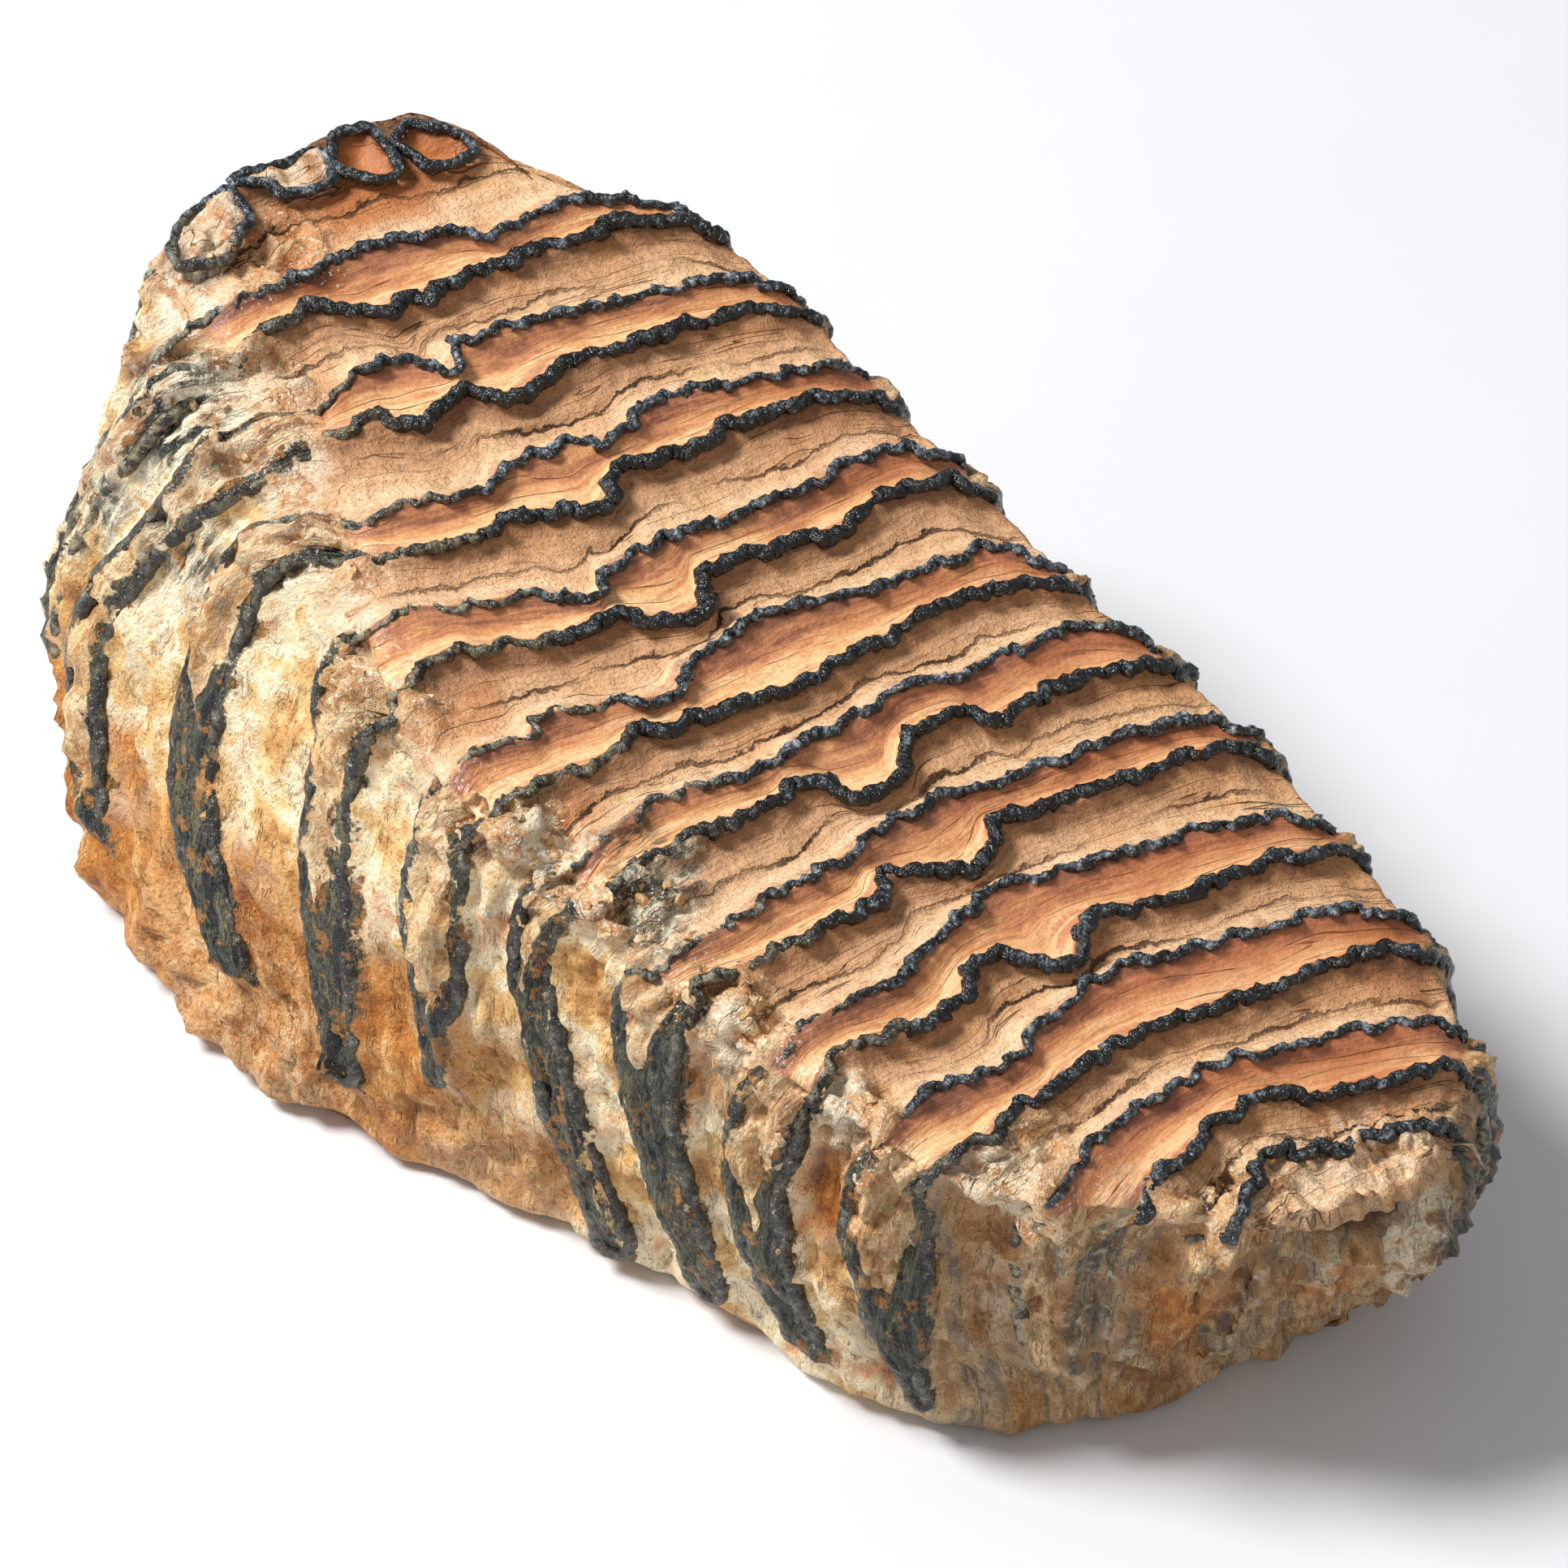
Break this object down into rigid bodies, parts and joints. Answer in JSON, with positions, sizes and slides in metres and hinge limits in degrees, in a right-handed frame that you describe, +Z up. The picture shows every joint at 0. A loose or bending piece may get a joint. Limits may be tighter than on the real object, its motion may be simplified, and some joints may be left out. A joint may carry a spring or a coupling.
{
  "type": "fossil mammoth tooth",
  "caption": "Loaf-shaped fossil molar that lies on its broken base, with a ridged grinding face of dark enamel bands on tan dentine and cement.",
  "frame": {"origin": "centre of the bounding box in plan, on the surface the tooth lies on", "axes": "+X along the tooth from its least worn rear end to its front end, +Y across it from the left side to the right side, +Z up out of the grinding face"},
  "size_m": [0.1572, 0.091, 0.0625],
  "materials": {
    "fossil_tooth": "satin worn enamel ridges with dull, grainy cement and fibrous dentine between them"
  },
  "bodies": {
    "root": {"mammoth_tooth": "fossil_tooth"}
  },
  "joints": []
}
